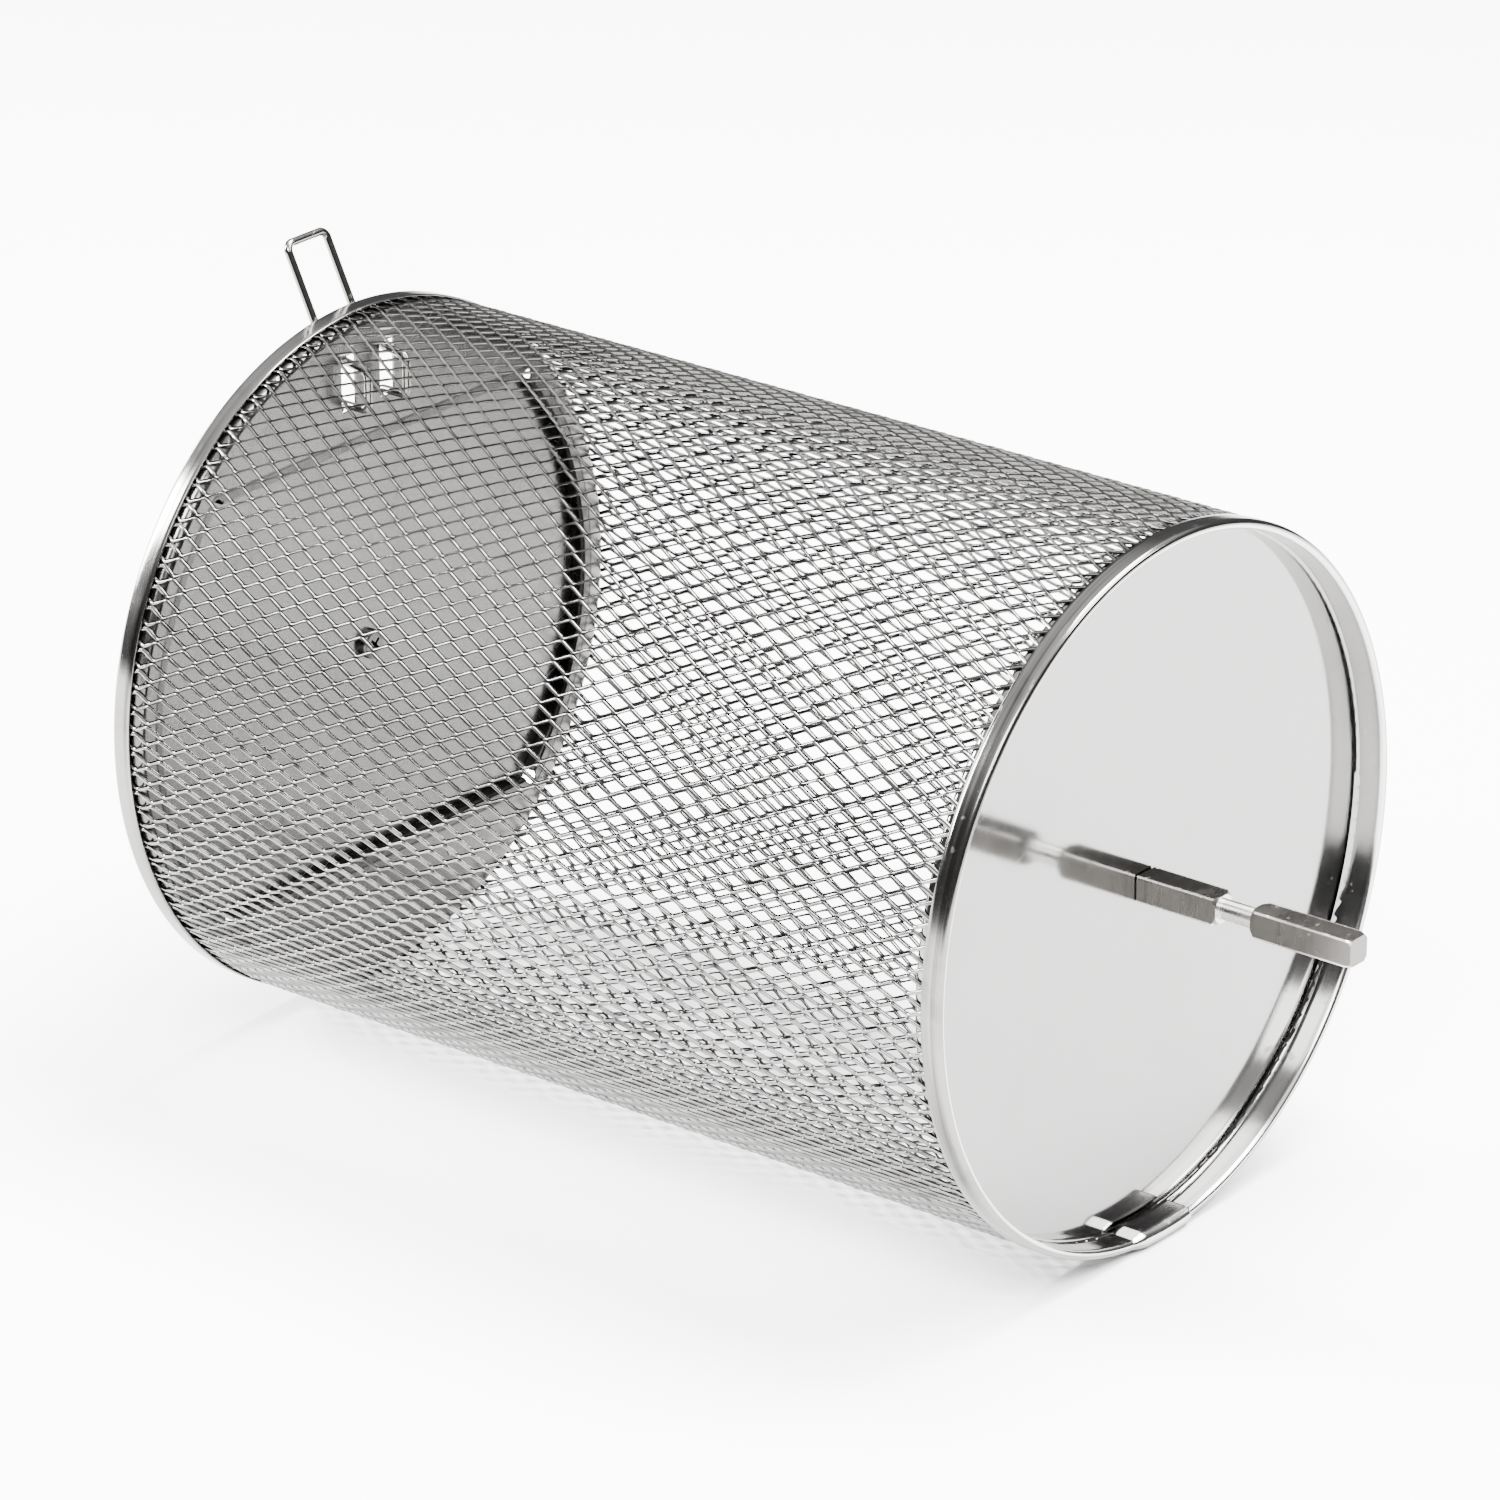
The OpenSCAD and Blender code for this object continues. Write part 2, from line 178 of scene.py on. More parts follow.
@dataclass
class Graph:
    """A node tree that signals are worked out in.

    Args:
        tree: the tree, which it empties.
    """

    tree: bpy.types.NodeTree

    def __post_init__(self) -> None:
        """Empties the tree."""
        self.tree.nodes.clear()

    def place(self, kind: str, settings: dict,
              inputs: "dict[int | str, Signal | float | tuple | None]") -> bpy.types.Node:
        """Adds a node.

        Args:
            kind: the node's type.
            settings: its properties by name; stops are a ramp's places and colours.
            inputs: values for its inputs, by number or name; None leaves one alone.

        Returns:
            The node.
        """
        made = self.tree.nodes.new(kind)
        for key, value in settings.items():
            if key == "stops":
                elements = made.color_ramp.elements
                while len(elements) < len(value):
                    elements.new(0.5)
                for element, (position, colour) in zip(elements, value):
                    element.position, element.color = position, colour
            else:
                setattr(made, key, value)
        for at, value in inputs.items():
            self.feed(made.inputs[at], value)
        return made

    def node(self, kind: str, settings: dict, *inputs: "Signal | float | tuple | None",
             output: int | str = 0) -> Signal:
        """Adds a node and takes one of its outputs.

        Args:
            kind: the node's type.
            settings: its properties by name.
            inputs: values for its inputs in order; None leaves one alone.
            output: which output to return.

        Returns:
            That output.
        """
        return Signal(self, self.place(kind, settings, dict(enumerate(inputs))).outputs[output])

    def feed(self, socket: bpy.types.NodeSocket, value: "Signal | float | tuple | None") -> None:
        """Links or sets one input.

        Args:
            socket: the input.
            value: a signal, a constant, or None to leave it.
        """
        if isinstance(value, Signal):
            self.tree.links.new(value.socket, socket)
        elif value is not None:
            socket.default_value = value

    def math(self, operation: str, *values: "Signal | float") -> Signal:
        """Adds a Math node.

        Args:
            operation: what it does.
            values: its inputs.

        Returns:
            The result.
        """
        return self.node("ShaderNodeMath", {"operation": operation}, *values)

    def position(self) -> tuple[Signal, Signal, Signal]:
        """The point's place in the part's frame, in metres.

        Returns:
            Its X, Y and Z.
        """
        place = self.node("ShaderNodeTexCoord", {}, output="Object")
        split = self.node("ShaderNodeSeparateXYZ", {}, place)
        outputs = split.socket.node.outputs
        return tuple(Signal(self, outputs[i]) for i in range(3))

    def reach(self, y: Signal, z: Signal) -> Signal:
        """The point's distance from the drum's axis.

        Args:
            y: its Y.
            z: its Z.

        Returns:
            The distance, in metres.
        """
        return self.math("SQRT", y * y + z * z)

    def vector(self, x: "Signal | float", y: "Signal | float", z: "Signal | float") -> Signal:
        """A vector from its three parts.

        Args:
            x: the first part.
            y: the second.
            z: the third.

        Returns:
            The vector.
        """
        return self.node("ShaderNodeCombineXYZ", {}, x, y, z)

    def noise(self, at: Signal, scale: float, detail: float = 2.0, rough: float = 0.5) -> Signal:
        """Fractal noise, about 0 to 1.

        Args:
            at: where to read it.
            scale: its frequency, per unit of at.
            detail: how many octaves.
            rough: how strong the finer octaves are.

        Returns:
            The noise.
        """
        return self.node("ShaderNodeTexNoise", {}, at, None, scale, detail, rough)

    def mix(self, amount: "Signal | float", low: "Signal | tuple",
            high: "Signal | tuple") -> Signal:
        """A colour between two.

        Args:
            amount: 0 gives low and 1 gives high.
            low: a colour.
            high: a colour.

        Returns:
            The mixed colour.
        """
        made = self.place("ShaderNodeMix", {"data_type": "RGBA"},
                          {0: amount, MIX_LOW: low, MIX_HIGH: high})
        return Signal(self, made.outputs[MIX_OUT])


class Surface(Graph):
    """The node tree of one material, around one principled shader."""

    def __init__(self, name: str) -> None:
        """Makes the material, its shader and its output.

        Args:
            name: the material's name.
        """
        self.material = bpy.data.materials.new(name)
        self.material.use_nodes = True
        super().__init__(self.material.node_tree)
        self.shader = self.place("ShaderNodeBsdfPrincipled", {}, {})
        shading = Signal(self, self.shader.outputs[0])
        self.place("ShaderNodeOutputMaterial", {}, {0: shading})

    def set(self, name: str, value: "Signal | float | tuple") -> None:
        """Sets or links an input of the principled shader.

        Args:
            name: the input's name.
            value: what goes in.
        """
        self.feed(self.shader.inputs[name], value)

    def bump(self, height: Signal, strength: float, depth: float) -> None:
        """Puts a bump on the shader's normal.

        Args:
            height: the height, 0 to 1.
            strength: how much of the bump shows.
            depth: what a height of 1 stands for, in metres.
        """
        made = self.place("ShaderNodeBump", {},
                          {"Strength": strength, "Distance": depth, "Height": height})
        self.set("Normal", Signal(self, made.outputs[0]))


@dataclass(frozen=True)
class Steel:
    """A worked stainless-steel surface.

    Args:
        name: the finish's name.
        tone: its colour.
        shade: the colour of its darker streaks.
        rough: its roughness.
        rough_swing: how much the roughness wanders.
        grain: the way its lines run.
        line_scale: lines per metre across the grain.
        line_depth: depth of the lines, in metres.
        streaks: how strong the dark streaks are.
        smudges: how strong the cloudy patches are.
        scratches: how strong the single long scratches are.
        square: half the width across the flats of a square bar whose edges get a painted highlight,
            or 0.
        turned: where along X a bright turned neck starts and ends.
        inner: a brighter colour nearer the axis than inner_reach; on a rim it is a painted sheen on
            the inner leg.
        inner_reach: that radius, or 0.
        mouth: radius and half height of a flanged opening, whose bend is darkened with painted
            shade.
    """

    name: str
    tone: tuple[float, float, float]
    shade: tuple[float, float, float]
    rough: float
    rough_swing: float = 0.05
    grain: Grain = Grain.UPRIGHT
    line_scale: float = 4000.0
    line_depth: float = 2e-6
    streaks: float = 0.3
    smudges: float = 0.3
    scratches: float = 0.1
    square: float = 0.0
    turned: tuple[float, float] = (0.0, 0.0)
    inner: tuple[float, float, float] = (0.0, 0.0, 0.0)
    inner_reach: float = 0.0
    mouth: tuple[float, float] = (0.0, 0.0)

    def along_grain(self, graph: Graph) -> Signal:
        """The point's place, squeezed along the grain, so that a noise read there runs in lines.

        Args:
            graph: the graph to add to.

        Returns:
            The squeezed place.
        """
        x, y, z = graph.position()
        if self.grain is Grain.ALONG:
            return graph.vector(x * SQUEEZE_ALONG, y, z)
        if self.grain is Grain.UPRIGHT:
            return graph.vector(x, y, z * SQUEEZE_UPRIGHT)
        if self.grain is Grain.ACROSS:
            return graph.vector(x, y * SQUEEZE_ACROSS, z * SQUEEZE_ACROSS)
        turn = graph.math("ARCTAN2", y, z)
        reach = graph.reach(y, z)
        return graph.vector(x, turn * SQUEEZE_ROUND, reach)

    def paint_edge_highlight_and_neck(self, graph: Graph, place: tuple[Signal, Signal, Signal], colour: Signal,
             highlight_swing: Signal, lines: Signal) -> Signal:
        """Paints highlights on a square bar's edges, and makes its turned neck brighter.

        Args:
            graph: the graph to add to.
            place: the point's X, Y and Z.
            colour: the colour so far.
            highlight_swing: how uneven the painted highlight on the edges is.
            lines: the fine lines, which show on the neck.

        Returns:
            The new colour.
        """
        x, y, z = place
        start, end = self.turned
        corner = graph.math("MINIMUM", abs(y), abs(z))
        edge_highlight = corner.ramp(self.square - 0.62 * MM, self.square - 0.3 * MM)
        neck = x.ramp(start, start + 0.2 * MM) * (1.0 - x.ramp(end - 0.2 * MM, end))
        bright = (edge_highlight * (0.5 + 0.6 * highlight_swing) + neck * (0.6 + 0.4 * lines)).clamped()
        return graph.mix(bright, colour, EDGE_HIGHLIGHT_AND_NECK)

    def paint_opening_shade(self, graph: Graph, place: tuple[Signal, Signal, Signal], colour: Signal,
              bands: Signal) -> Signal:
        """Paints shade into an opening's bend, darkest at the crease at each side of it.

        Args:
            graph: the graph to add to.
            place: the point's X, Y and Z.
            colour: the colour so far.
            bands: how uneven the painted shade is.

        Returns:
            The new colour.
        """
        _, y, z = place
        radius, half_height = self.mouth
        reach = graph.reach(y, z)
        away = graph.math("MAXIMUM", reach - radius, abs(z) - half_height)
        bend_shade = (1.0 - away.ramp(3.3 * MM, 3.8 * MM)) * 0.55
        crease_shade = (1.0 - abs(away - 3.7 * MM).ramp(0.15 * MM, 0.6 * MM)
                   + 1.0 - abs(away - 0.4 * MM).ramp(0.2 * MM, 0.7 * MM)) * 0.75
        opening_shade = ((bend_shade + crease_shade) * (0.6 + 0.8 * bands)).clamped()
        return graph.mix(opening_shade, colour, OPENING_SHADE_STEEL)

    def build(self) -> bpy.types.Material:
        """Makes the material.

        Returns:
            The material.
        """
        graph = Surface(self.name)
        x, y, z = place = graph.position()
        worked = self.along_grain(graph)
        lines = graph.noise(worked, self.line_scale, 3.0, 0.6)
        bands = graph.noise(worked, self.line_scale * BAND_SHARE, 2.0, 0.5)
        clouds = graph.noise(graph.vector(*place), CLOUD_SCALE, 3.0, 0.6)
        slanted = graph.vector((y + z * 0.4) * 0.02, z - y * 0.4, x * 0.7)
        scratch = graph.noise(slanted, SCRATCH_SCALE, 1.0, 0.3).ramp(0.69, 0.74)
        streaks = bands.ramp(0.52, 0.78) * self.streaks
        dark = (streaks + clouds.ramp(0.5, 0.75) * self.smudges).clamped()
        colour = graph.mix(dark, (*self.tone, 1.0), (*self.shade, 1.0))
        # Painted highlight on a square bar's edges, and a brighter turned neck.
        if self.square:
            colour = self.paint_edge_highlight_and_neck(graph, place, colour, clouds, lines)
        # Painted shade round the opening in the plate, in its bend and creases.
        if self.mouth[0]:
            colour = self.paint_opening_shade(graph, place, colour, bands)
        # Painted sheen: the rim's inner leg is painted brighter than its outer leg, though both are
        # one strip.
        if self.inner_reach:
            reach = graph.reach(y, z)
            inside = 1.0 - reach.ramp(self.inner_reach - 0.3 * MM, self.inner_reach + 0.3 * MM)
            colour = graph.mix(inside * (1.0 - dark * 0.5), colour, (*self.inner, 1.0))
        graph.set("Base Color", colour)
        graph.set("Metallic", 1.0)
        patches = clouds.ramp(0.45, 0.8)
        rough = self.rough + (lines - 0.5) * self.rough_swing + patches * self.rough_swing
        graph.set("Roughness", (rough + scratch * (self.scratches * 0.6)).clamped())
        graph.bump(lines + bands * 0.6 - scratch * self.scratches * 2.0, 0.6, self.line_depth)
        return graph.material


PLATE = Steel("polished_plate", (0.19, 0.1885, 0.185), (0.155, 0.1535, 0.15), 0.085, 0.03,
              Grain.UPRIGHT, 2600.0, 4e-7, 0.15, 0.25, 0.05)
# The door end's plate and the door are darker than the drive-end plate: painted shade, for they are
# seen inside the drum, behind the mesh.
INNER_PLATE = Steel("inner_plate_painted_shade", (0.085, 0.083, 0.08), (0.053, 0.0515, 0.049), 0.24, 0.08,
                    Grain.UPRIGHT, 3200.0, 1.5e-6, 0.4, 0.4, 0.15, mouth=(94.6 * MM, 65.0 * MM))
DOOR = Steel("door_painted_shade", (0.087, 0.085, 0.082), (0.058, 0.0565, 0.054), 0.22, 0.08,
             Grain.UPRIGHT, 3200.0, 1.5e-6, 0.4, 0.4, 0.15)
# The inner leg's lighter colour is a painted sheen.
RIM = Steel("rolled_rim", (0.17, 0.166, 0.16), (0.012, 0.0111, 0.0101), 0.12, 0.1,
            Grain.ROUND, 3600.0, 3e-6, 0.9, 0.35, 0.2,
            inner=(0.46, 0.455, 0.445), inner_reach=104.4 * MM)
AXLE = Steel("ground_axle", (0.105, 0.099, 0.092), (0.045, 0.042, 0.038), 0.24, 0.12,
             Grain.ACROSS, 5200.0, 6e-6, 0.5, 0.35, 0.3,
             square=4.0 * MM, turned=(26.9 * MM, 38.6 * MM))
STUB = Steel("turned_stub", (0.2, 0.19, 0.18), (0.12, 0.113, 0.105), 0.22, 0.08,
             Grain.ROUND, 6000.0, 3e-6, 0.4, 0.2, 0.1)
SCREW = Steel("screw", (0.06, 0.058, 0.055), (0.022, 0.021, 0.02), 0.18, 0.08,
              Grain.ROUND, 5200.0, 3e-6, 0.35, 0.3, 0.1)
HINGE = Steel("rolled_hinge", (0.2, 0.196, 0.19), (0.11, 0.107, 0.103), 0.26, 0.08,
              Grain.ALONG, 4000.0, 3e-6, 0.35, 0.35, 0.15)
WIRE = Steel("drawn_wire", (0.17, 0.163, 0.155), (0.045, 0.043, 0.04), 0.1, 0.06,
             Grain.UPRIGHT, 7000.0, 2e-6, 0.35, 0.25, 0.2)
STRAND = Steel("sheared_strand", (0.165, 0.1621, 0.158), (0.022, 0.0214, 0.0205), 0.15, 0.12,
               Grain.ALONG, 2400.0, 6e-6, 0.65, 0.45, 0.1)
# The ribbons' side faces are near black: partly the duller sheared edge, partly painted shade
# beneath each strand.
EDGE_AND_SHADE = Steel("sheared_edge_and_painted_shade", (0.022, 0.0214, 0.0205), (0.006, 0.0058, 0.0055), 0.3, 0.1,
             Grain.ALONG, 2400.0, 6e-6, 0.5, 0.4, 0.1)


# ---- pieces built here -----------------------------------------------------------------------


def put_in(name: str, points: np.ndarray, quads: np.ndarray, finish: bpy.types.Material,
           smooth: np.ndarray | bool) -> bpy.types.Object:
    """Makes an object from arrays.

    Args:
        name: the piece's name.
        points: n by 3 positions, in metres.
        quads: m by 4 corner indices, outward by the right-hand rule.
        finish: its material.
        smooth: True or False for all faces, or one flag for each.

    Returns:
        The object, linked to the scene.
    """
    mesh = bpy.data.meshes.new(name)
    mesh.vertices.add(len(points))
    mesh.vertices.foreach_set("co", np.ascontiguousarray(points, np.float32).ravel())
    mesh.loops.add(quads.size)
    mesh.loops.foreach_set("vertex_index", np.ascontiguousarray(quads, np.int32).ravel())
    mesh.polygons.add(len(quads))
    mesh.polygons.foreach_set("loop_start", np.arange(0, quads.size, 4, dtype=np.int32))
    flags = np.full(len(quads), smooth) if isinstance(smooth, bool) else smooth
    mesh.polygons.foreach_set("use_smooth", flags)
    mesh.update(calc_edges=True)
    mesh.validate()
    mesh.materials.append(finish)
    made = bpy.data.objects.new(name, mesh)
    bpy.context.scene.collection.objects.link(made)
    return made


def eased(rise: np.ndarray) -> np.ndarray:
    """A straight rise held between 0 and 1 and made smooth at both ends.

    The held value v becomes three v squared less two v cubed.

    Args:
        rise: the straight rise.

    Returns:
        The smooth one.
    """
    held = np.clip(rise, 0, 1)
    return held * held * (3 - 2 * held)


def tube_quads(stations: int, corners: int, looped: bool) -> np.ndarray:
    """Faces of a tube whose points run station by station, corner by corner.

    Args:
        stations: cross-sections along the tube.
        corners: points round each.
        looped: True if the last station joins the first.

    Returns:
        m by 4 indices; strips of quads close an open tube's ends, for an even corner count.
    """
    last = stations if looped else stations - 1
    at, corner = np.meshgrid(np.arange(last), np.arange(corners), indexing="ij")
    after, beside = (at + 1) % stations, (corner + 1) % corners
    quads = np.stack([at * corners + corner, after * corners + corner,
                      after * corners + beside, at * corners + beside], -1).reshape(-1, 4)
    if looped:
        return quads[:, ::-1]
    half = np.arange(corners // 2 - 1)
    cap = np.stack([half, half + 1, corners - 2 - half, corners - 1 - half], -1)
    return np.vstack([quads, cap, (cap + (stations - 1) * corners)[:, ::-1]])[:, ::-1]


@dataclass
class MeshWall:
    """The drum's wall of expanded metal.

    It is made of wavy ribbons that run along the drum, each joined to the next where they touch.
    The ribbons stand at an angle to the wall, as the strands of unflattened expanded metal do, and
    lie down almost flat where the rims clamp them.

    Args:
        rows: ribbons round the drum; an even number.
        cells: openings along the drum.
        radius: radius of the wall's middle.
        strand: width of a ribbon.
        sheet: thickness of a ribbon.
        tilt: angle between a ribbon and the wall, in degrees.
        steps: stations in each cell.
        parts: how many pieces it is made as.
        clamped: how far from each end the ribbons lie down, in the rims.
        rising: the length over which they stand up again.
        lying: the share of the tilt that is left where they lie.
        twist: how much more a ribbon leans between two knuckles than in them.
        shift: the wave's phase at the low end, in radians.
        point: how pointed the wave is before its crests are cut, below 1.
        crest: how much too high it is before they are cut flat.
        wander: how far the ribbons stray from their places.
    """

    rows: int = 210
    cells: int = 29
    radius: float = 104.9 * MM
    strand: float = 1.16 * MM
    sheet: float = 0.55 * MM
    tilt: float = -36.0
    steps: int = 12
    parts: int = 6
    clamped: float = 7.5 * MM
    rising: float = 3 * MM
    lying: float = 0.12
    twist: float = 0.25
    shift: float = 1.1
    point: float = 0.985
    crest: float = 1.16
    wander: float = 0.05 * MM

    def ribbons(self, first: int, count: int, low: float,
                high: float) -> tuple[np.ndarray, np.ndarray]:
        """Some of the ribbons, as closed tubes of four corners.

        Distance along the drum is one parameter and the corner's number the other. A ribbon's
        middle swings to either side by a wave with flats at its crests, the odd ones the other
        way, and moves in and out with it, so that joined ribbons make one slanted knuckle. Each
        strays a little from its place, by a slow wave of its own.

        Args:
            first: number of the first ribbon.
            count: how many.
            low: where they start along X.
            high: where they end.

        Returns:
            Points and quads.
        """
        stations = self.cells * self.steps + 1
        x = np.linspace(low, high, stations)[None, :]
        row = np.arange(first, first + count)[:, None]
        pitch = 2 * math.pi * self.radius / self.rows
        swing = (-1.0) ** row
        phase = 2 * math.pi * (x - low) * self.cells / (high - low) + self.shift
        slope = 2 / math.pi * np.arcsin(self.point * np.sin(phase))
        wave = np.clip(self.crest * slope, -1, 1)
        free = np.minimum(high - self.clamped - x, x - low - self.clamped)
        standing = self.lying + (1 - self.lying) * eased(free / self.rising)
        knuckle_lean = np.radians(self.tilt) * standing
        lean = knuckle_lean * (1 + self.twist * (1 - wave ** 2))
        reach = (pitch - self.strand * np.cos(knuckle_lean)) / 2
        uneven = np.sin(row * 2.4 + 3.1 * np.sin(row * 0.7)) * np.sin(x * 61 + row)
        arc = row * pitch + swing * reach * wave + self.wander * uneven
        depth = -swing * wave * self.strand / 2 * np.sin(knuckle_lean)
        steep = np.gradient(swing * reach * wave, x[0], axis=1)
        half = self.strand / 2 * np.sqrt(1 + steep ** 2)
        width = np.array([-1.0, 1.0, 1.0, -1.0])
        thick = np.array([-1.0, -1.0, 1.0, 1.0]) * self.sheet / 2
        c, s = np.cos(lean)[..., None], np.sin(lean)[..., None]
        along = arc[..., None] + half[..., None] * width * c - thick * s
        out = self.radius + depth[..., None] + self.strand / 2 * width * s + thick * c
        turn = along / self.radius
        where = np.broadcast_to(x[..., None], turn.shape)
        points = np.stack([where, out * np.sin(turn), out * np.cos(turn)], -1).reshape(-1, 3)
        one = tube_quads(stations, len(width), False)
        starts = np.arange(count) * stations * len(width)
        return points, (one[None] + starts[:, None, None]).reshape(-1, 4)

    def build(self, finish: bpy.types.Material, edge: bpy.types.Material) -> list[bpy.types.Object]:
        """Makes the wall in place of the plain tube.

        Args:
            finish: its material.
            edge: the material of the ribbons' side faces, near black: partly their duller sheared
                edges, partly painted shade.

        Returns:
            Its pieces.
        """
        low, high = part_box("mesh_shell")
        each = self.rows // self.parts
        made = []
        for part in range(self.parts):
            points, quads = self.ribbons(part * each, each, low.x, high.x)
            lengths = self.cells * self.steps
            caps = len(quads) // each - 4 * lengths
            ribbon = np.concatenate([np.tile([True, False, True, False], lengths),
                                     np.zeros(caps, bool)])
            wide = np.tile(ribbon, each)
            piece = put_in(f"mesh_wall_{part}", points, quads, finish, wide)
            # Side faces get the near-black material, partly painted shade.
            piece.data.materials.append(edge)
            piece.data.polygons.foreach_set("material_index",
                                            np.where(wide, 0, 1).astype(np.int32))
            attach(piece, "basket")
            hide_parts("mesh_shell")
            made.append(piece)
        return made


@dataclass
class RimHoop:
    """A rim: a strip folded round the edge, and its end lapped over itself at the bottom.

    Args:
        node: the CAD node it stands for.
        lip: where the lip is along X.
        side: 1 if the lip faces +X, -1 if -X.
        radius: outer radius.
        fold: thickness of the folded rim.
        strip: thickness of the strip.
        outer: width of the outer leg.
        inner: width of the inner leg.
        rounding: how far the strip's edges are rounded off.
        leg_steps: stations along each leg.
        bend_steps: stations round the fold.
        lap_from: where the lap leaves the strip below, in degrees from the bottom.
        lap_to: where its free end is.
        lap_rise: how many degrees it takes to climb on to that strip.
        lap_steps: stations along it.
        sunk: how deep it starts in that strip.
        clear: how much more than the strip's thickness it climbs.
        bulge: how much farther its inner leg stands off.
        overhang: how much longer its legs are.
    """

    node: str
    lip: float
    side: int
    radius: float = 105.97 * MM
    fold: float = 3.0 * MM
    strip: float = 0.7 * MM
    outer: float = 6.5 * MM
    inner: float = 8.0 * MM
    rounding: float = 0.12 * MM
    leg_steps: int = 4
    bend_steps: int = 21
    lap_from: float = -8.4
    lap_to: float = 6.3
    lap_rise: float = 3.2
    lap_steps: int = 60
    sunk: float = 0.05 * MM
    clear: float = 0.03 * MM
    bulge: float = 0.9 * MM
    overhang: float = 0.25 * MM

    def section(self, longer: float = 0.0) -> tuple[np.ndarray, np.ndarray]:
        """The strip's middle line in section, from one leg's edge over the lip to the other's.

        Args:
            longer: how much longer the legs are.

        Returns:
            Points as (radius, distance in from the lip), and the unit normals away from the fold.
        """
        bend = self.fold / 2
        middle = bend - self.strip / 2
        turn = np.linspace(0, math.pi, self.bend_steps)
        arc = np.stack([self.radius - bend + middle * np.cos(turn),
                        bend - middle * np.sin(turn)], -1)
        normal = np.stack([np.cos(turn), -np.sin(turn)], -1)
        run = np.linspace(0, 1, self.leg_steps + 1)[:-1, None]
        first = np.array([[arc[0, 0], self.outer + longer]])
        last = np.array([[arc[-1, 0], self.inner + longer]])
        line = np.vstack([first + run * (arc[0] - first), arc,
                          (last + run * (arc[-1] - last))[::-1]])
        normals = np.vstack([np.repeat(normal[:1], self.leg_steps, 0), normal,
                             np.repeat(normal[-1:], self.leg_steps, 0)])
        return line, normals

    def sweep(self, name: str, turns: np.ndarray, looped: bool, lift: np.ndarray,
              push: np.ndarray, longer: float, finish: bpy.types.Material) -> bpy.types.Object:
        """The strip's section carried round the axis.

        The turn round the axis is one parameter, and the way round the strip's section the other:
        out along its outer face, over a rounded edge and back along its inner face.

        Args:
            name: the piece's name.
            turns: the angles, from the bottom, in radians.
            looped: True if they go all the way round.
            lift: how far the outer leg stands off its own place at each, in metres.
            push: how much farther the inner leg does; the fold shares it out in between.
            longer: how much longer the legs are.
            finish: its material.

        Returns:
            The piece.
        """
        line, normals = self.section(longer)
        edge = self.strip / 2
        outside = line + normals * edge
        inside = line - normals * edge
        for face in (outside, inside):
            face[[0, -1], 1] -= self.rounding
        flat = normals * (edge - self.rounding)
        loop = np.vstack([outside, line[-1:] + flat[-1:], line[-1:] - flat[-1:],
                          inside[::-1], line[:1] - flat[:1], line[:1] + flat[:1]])
        away = np.vstack([normals, normals[-1:], normals[-1:],
                          normals[::-1], normals[:1], normals[:1]])
        bend = (1 - np.cos(np.linspace(0, math.pi, self.bend_steps))) / 2
        side = np.concatenate([np.zeros(self.leg_steps), bend, np.ones(self.leg_steps)])
        share = np.concatenate([side, [1.0, 1.0], side[::-1], [0.0, 0.0]])
        off = lift[:, None] + push[:, None] * share
        shape = loop[None] + away[None] * off[..., None]
        reach, depth = shape[..., 0], shape[..., 1]
        turn = turns[:, None]
        points = np.stack([self.lip - self.side * depth, reach * np.sin(turn),
                           -reach * np.cos(turn)], -1)
        quads = tube_quads(len(turns), len(loop), looped)
        if self.side > 0:
            quads = quads[:, ::-1]
        piece = put_in(name, points.reshape(-1, 3), quads, finish, True)
        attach(piece, "basket")
        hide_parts(self.node)
        return piece

    def build(self, finish: bpy.types.Material) -> list[bpy.types.Object]:
        """Makes the hoop and its lap.

        Args:
            finish: their material.

        Returns:
            The pieces.
        """
        whole = np.linspace(0, 2 * math.pi, 361)[:-1]
        level = 0 * whole
        hoop = self.sweep(self.node + "_hoop", whole, True, level, level, 0.0, finish)
        lap = np.radians(np.linspace(self.lap_from, self.lap_to, self.lap_steps))
        rise = eased((lap - lap[0]) / math.radians(self.lap_rise))
        lift = -self.sunk + (self.strip + self.clear) * rise
        lapped = self.sweep(self.node + "_lap", lap * self.side, False, lift, self.bulge * rise,
                            self.overhang, finish)
        if self.side < 0:  # its turns ran the other way, and so did its faces
            lapped.data.flip_normals()
        return [hoop, lapped]


@dataclass
class CadFinishes:
    """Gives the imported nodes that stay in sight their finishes.

    Args:
        nodes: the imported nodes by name.
    """

    nodes: dict[str, bpy.types.Object]

    FINISHES: ClassVar[dict[str, Steel]] = {
        "drive_end_plate": PLATE, "drive_axle": AXLE, "drive_axle_screw": SCREW,
        "door_end_plate": INNER_PLATE, "hinge_leaf": HINGE, "hinge_rivets": HINGE,
        "hinge_pin": HINGE, "door_panel": DOOR, "door_stub_axle": STUB,
        "door_stub_screw": SCREW, "wire_catch": WIRE,
    }

    def build(self) -> list[str]:
        """Assigns a material to each node's slots.

        Returns:
            The nodes' names.
        """
        made: dict[str, bpy.types.Material] = {}
        for node, finish in self.FINISHES.items():
            if finish.name not in made:
                made[finish.name] = finish.build()
            mesh = self.nodes[node].data
            if not mesh.materials:
                mesh.materials.append(made[finish.name])
            for at in range(len(mesh.materials)):
                mesh.materials[at] = made[finish.name]
        return list(self.FINISHES)


# ---- the studio ------------------------------------------------------------------------------


DRUM_MIDDLE = (-0.13, 0.0, 0.0)
# Brightness of the room, from straight down, past the horizon, to overhead: (place, colour).
ROOM = ((0.0, (0.02, 0.02, 0.02, 1.0)), (0.45, (0.05, 0.05, 0.051, 1.0)),
        (0.9, (0.5, 0.5, 0.5, 1.0)))
ROOM_STRENGTH = 6.0


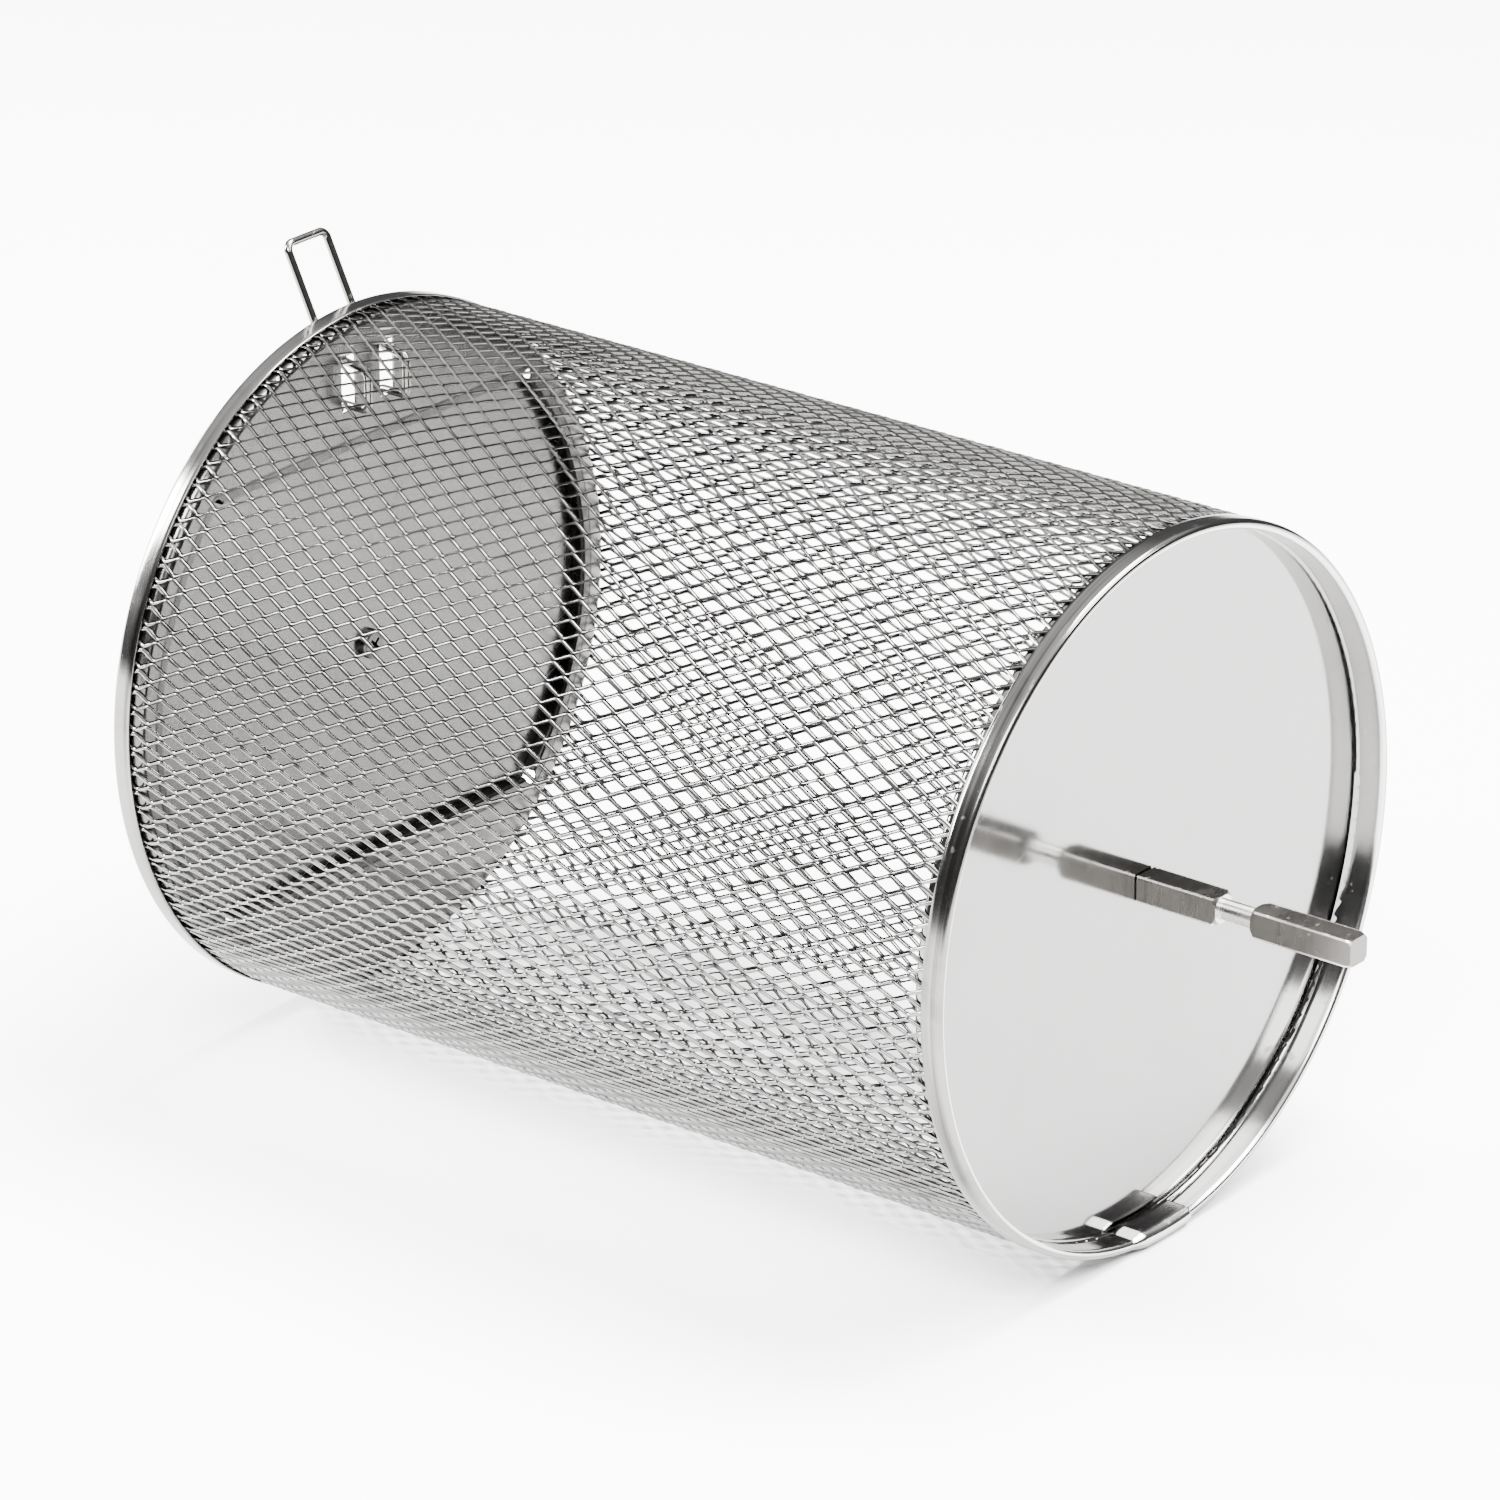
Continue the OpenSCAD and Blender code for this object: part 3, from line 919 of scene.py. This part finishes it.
def facing(at: tuple[float, float, float], target: tuple[float, float, float]) -> Euler:
    """The turn that points a lamp or the camera at something, upright.

    Args:
        at: where it stands.
        target: what it faces.

    Returns:
        The turn.
    """
    return (Vector(target) - Vector(at)).to_track_quat("-Z", "Y").to_euler()


@dataclass(frozen=True)
class SoftBox:
    """An area lamp aimed at the drum.

    Args:
        name: its name.
        at: where it stands.
        sides: its width and height.
        power: its power in watts.
    """

    name: str
    at: tuple[float, float, float]
    sides: tuple[float, float]
    power: float

    def build(self) -> None:
        """Makes the lamp."""
        data = bpy.data.lights.new(self.name, "AREA")
        data.shape = "RECTANGLE"
        data.size, data.size_y = self.sides
        data.energy = self.power
        made = bpy.data.objects.new(self.name, data)
        made.location = self.at
        made.rotation_euler = facing(self.at, DRUM_MIDDLE)
        bpy.context.scene.collection.objects.link(made)
        made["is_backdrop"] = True


SOFT_BOXES = (
    SoftBox("top_box", (0.0, 0.55, 1.65), (1.0, 1.0), 255.0),
    SoftBox("left_box", (-1.75, -1.1, 1.05), (0.45, 1.0), 200.0),
    SoftBox("low_left_box", (-1.95, -0.1, 0.45), (0.9, 0.7), 60.0),
    SoftBox("right_box", (1.0, 0.7, 1.45), (1.0, 1.0), 90.0),
    SoftBox("front_box", (0.65, -1.15, 1.45), (1.4, 0.7), 90.0),
)


@dataclass
class Studio:
    """A pale floor in a white room, soft light and the camera.

    Args:
        floor_z: the floor's height.
        camera_at: where the camera stands.
        look_at: the point it looks at.
        lens: its focal length, in millimetres.
    """

    floor_z: float
    camera_at: tuple[float, float, float] = (1.18466, -1.66220, 0.90223)
    look_at: tuple[float, float, float] = (-0.13967, 0.0, 0.00354)
    lens: float = 193.03

    def floor(self) -> bpy.types.Object:
        """A wide pale floor.

        Returns:
            The floor.
        """
        graph = Surface("studio_floor")
        x, y, z = graph.position()
        speck = graph.noise(graph.vector(x, y, z), 3.0, 2.0, 0.5)
        graph.set("Base Color", graph.mix(speck, (0.93, 0.93, 0.93, 1.0), (0.95, 0.95, 0.95, 1.0)))
        graph.set("Roughness", 0.9)
        graph.set("Specular IOR Level", 0.1)
        reach = 6.0
        points = np.array([[-reach, -reach, self.floor_z], [reach, -reach, self.floor_z],
                           [reach, reach, self.floor_z], [-reach, reach, self.floor_z]])
        made = put_in("studio_floor", points, np.array([[0, 1, 2, 3]]), graph.material, False)
        made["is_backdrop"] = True
        return made

    def sky(self) -> None:
        """A white room, greyer near the floor than overhead."""
        world = bpy.data.worlds.new("studio_room")
        bpy.context.scene.world = world
        world.use_nodes = True
        graph = Graph(world.node_tree)
        place = graph.node("ShaderNodeTexCoord", {}, output="Generated")
        height = graph.node("ShaderNodeSeparateXYZ", {}, place, output=2)
        grey = graph.node("ShaderNodeValToRGB", {"stops": ROOM}, height)
        light = graph.node("ShaderNodeBackground", {}, grey, ROOM_STRENGTH)
        graph.place("ShaderNodeOutputWorld", {}, {0: light})

    def camera(self) -> None:
        """The camera, level, looking a little down on the drive end."""
        data = bpy.data.cameras.new("camera")
        data.lens = self.lens
        data.sensor_width = 36.0
        data.clip_start = 0.1
        data.clip_end = 50.0
        made = bpy.data.objects.new("camera", data)
        made.location = self.camera_at
        made.rotation_euler = facing(self.camera_at, self.look_at)
        bpy.context.scene.collection.objects.link(made)
        bpy.context.scene.camera = made

    def build(self) -> None:
        """Sets the whole studio up."""
        self.floor()
        self.sky()
        for box in SOFT_BOXES:
            box.build()
        self.camera()


def main() -> None:
    """Builds the basket's looks and the studio."""
    logging.basicConfig(level=logging.INFO, format="%(name)s: %(message)s")
    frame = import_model()
    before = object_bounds()
    LOG.info("finishes on %s", ", ".join(CadFinishes(frame["nodes"]).build()))
    for piece in MeshWall().build(STRAND.build(), EDGE_AND_SHADE.build()):
        LOG.info("%s: %d faces", piece.name, len(piece.data.polygons))
    rim = RIM.build()
    hoops = (RimHoop("drive_end_rim", DRIVE_LIP_X, 1), RimHoop("door_end_rim", DOOR_LIP_X, -1))
    for hoop in hoops:
        for piece in hoop.build(rim):
            LOG.info("%s: %d faces", piece.name, len(piece.data.polygons))
    lowest = before[0].z
    Studio(floor_z=lowest if lowest > LOWEST_Z else DRUM_BOTTOM_Z).build()


if __name__ == "__main__":
    main()
